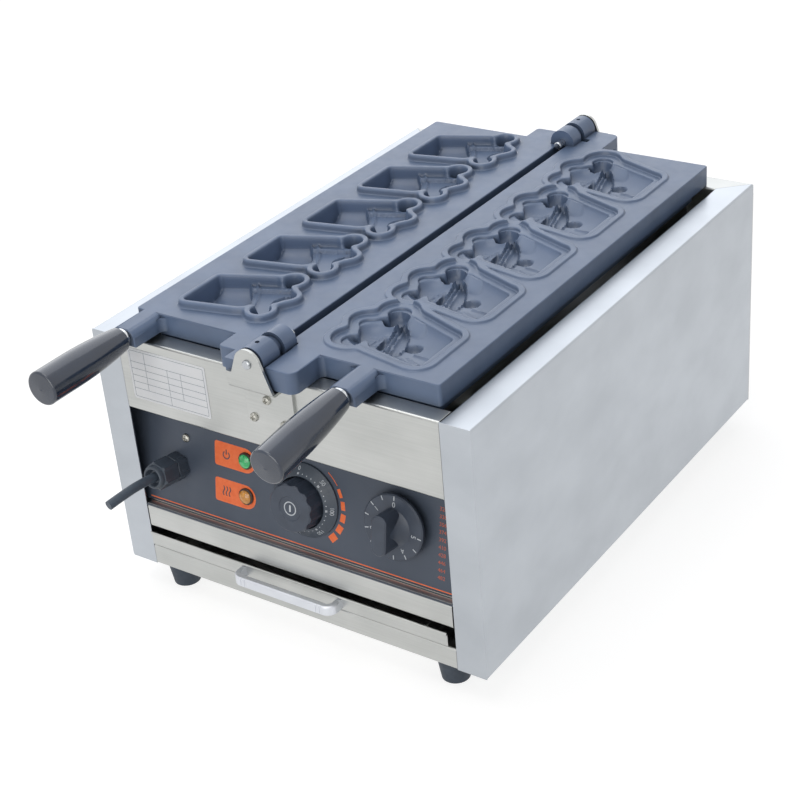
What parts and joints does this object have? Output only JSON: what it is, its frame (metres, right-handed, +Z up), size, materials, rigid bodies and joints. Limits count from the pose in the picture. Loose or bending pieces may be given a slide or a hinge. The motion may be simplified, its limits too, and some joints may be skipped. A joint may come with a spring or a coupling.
{
  "type": "shaped waffle maker",
  "caption": "Countertop electric waffle maker: stainless casing, hinged cast mould plates with shaped cavities, long side-by-side grips, leaning control panel and crumb drawer.",
  "frame": {"origin": "on the table, under the middle of the outline of the machine with its grips and brackets", "axes": "+X to the right seen from the control panel, +Y from the control panel to the back, +Z up"},
  "size_m": [0.39, 0.6579, 0.3],
  "materials": {
    "stainless": "fine-brushed",
    "dark_panel": "satin film",
    "mould_coating": "satin non-stick coating on cast aluminium",
    "bright_steel": "polished",
    "pin_steel": "oiled",
    "heater_sheath": "heat-tinted",
    "fibre_mat": "felted mineral fibre",
    "grip_plastic": "polished phenolic",
    "knob_plastic": "fine-grained moulding",
    "dark_moulding": "moulded",
    "lamp_orange": "moulded",
    "green_lens": "clear tinted",
    "amber_lens": "clear tinted",
    "black_rubber": "moulded",
    "cord_sheath": "extruded",
    "white_moulding": "moulded",
    "white_plate": "satin film"
  },
  "bodies": {
    "casing": {"side_panel_left": "stainless", "side_panel_right": "stainless", "rear_panel": "stainless", "front_upper_panel": "stainless", "control_panel": "dark_panel", "front_crossbar": "stainless", "bottom_rail": "stainless", "base_plate": "stainless", "wiring_partition": "stainless", "drawer_runners": "stainless", "rubber_feet": "black_rubber", "foot_screws": "bright_steel", "hinge_bracket_front": "stainless", "hinge_bracket_rear": "stainless", "bracket_screws": "bright_steel", "hinge_washers": "bright_steel", "thermostat_body": "dark_moulding", "thermostat_ring": "dark_moulding", "timer_body": "dark_moulding", "lamp_holders": "lamp_orange", "green_lamp_lens": "green_lens", "amber_lamp_lens": "amber_lens", "cable_gland": "dark_moulding", "gland_dome_nut": "dark_moulding", "gland_locknut": "dark_moulding", "power_cord": "cord_sheath", "power_cord_core": "cord_sheath", "terminal_block": "white_moulding", "control_panel_screw": "bright_steel", "rating_plate_blank": "white_plate"},
    "left_mould": {"left_mould_plate": "mould_coating", "left_heater": "heater_sheath", "left_heater_mat": "fibre_mat", "left_heater_cover": "stainless", "left_cover_screws": "bright_steel", "left_handle_stud": "bright_steel", "left_grip": "grip_plastic", "left_hinge_pin": "pin_steel", "left_set_screw": "bright_steel"},
    "right_mould": {"right_mould_plate": "mould_coating", "right_heater": "heater_sheath", "right_heater_mat": "fibre_mat", "right_heater_cover": "stainless", "right_cover_screws": "bright_steel", "right_handle_stud": "bright_steel", "right_grip": "grip_plastic", "right_hinge_pin": "pin_steel", "right_set_screw": "bright_steel"},
    "thermostat_control": {"thermostat_knob": "knob_plastic", "thermostat_shaft": "bright_steel"},
    "timer_control": {"timer_knob": "knob_plastic", "timer_shaft": "bright_steel"},
    "drawer": {"crumb_tray": "stainless", "drawer_front": "stainless", "drawer_handle": "bright_steel", "drawer_screws": "bright_steel"}
  },
  "joints": [
    {"name": "left_mould_hinge", "type": "hinge", "parent": "casing", "child": "left_mould", "pos_m": [0, 0.0459, 0.287], "axis": [0, 1, 0], "range_deg": [0, 180]},
    {"name": "right_mould_hinge", "type": "hinge", "parent": "casing", "child": "right_mould", "pos_m": [0, 0.0459, 0.287], "axis": [0, -1, 0], "range_deg": [0, 180]},
    {"name": "drawer_slide", "type": "slide", "parent": "casing", "child": "drawer", "axis": [0, -1, 0], "range_m": [0, 0.36]},
    {"name": "thermostat_turn", "type": "hinge", "parent": "casing", "child": "thermostat_control", "pos_m": [0.011, -0.19576, 0.13877], "axis": [0, 0.9848, -0.1736], "range_deg": [0, 300]},
    {"name": "timer_turn", "type": "hinge", "parent": "casing", "child": "timer_control", "pos_m": [0.108, -0.19481, 0.14419], "axis": [0, 0.9848, -0.1736], "range_deg": [0, 300]}
  ]
}
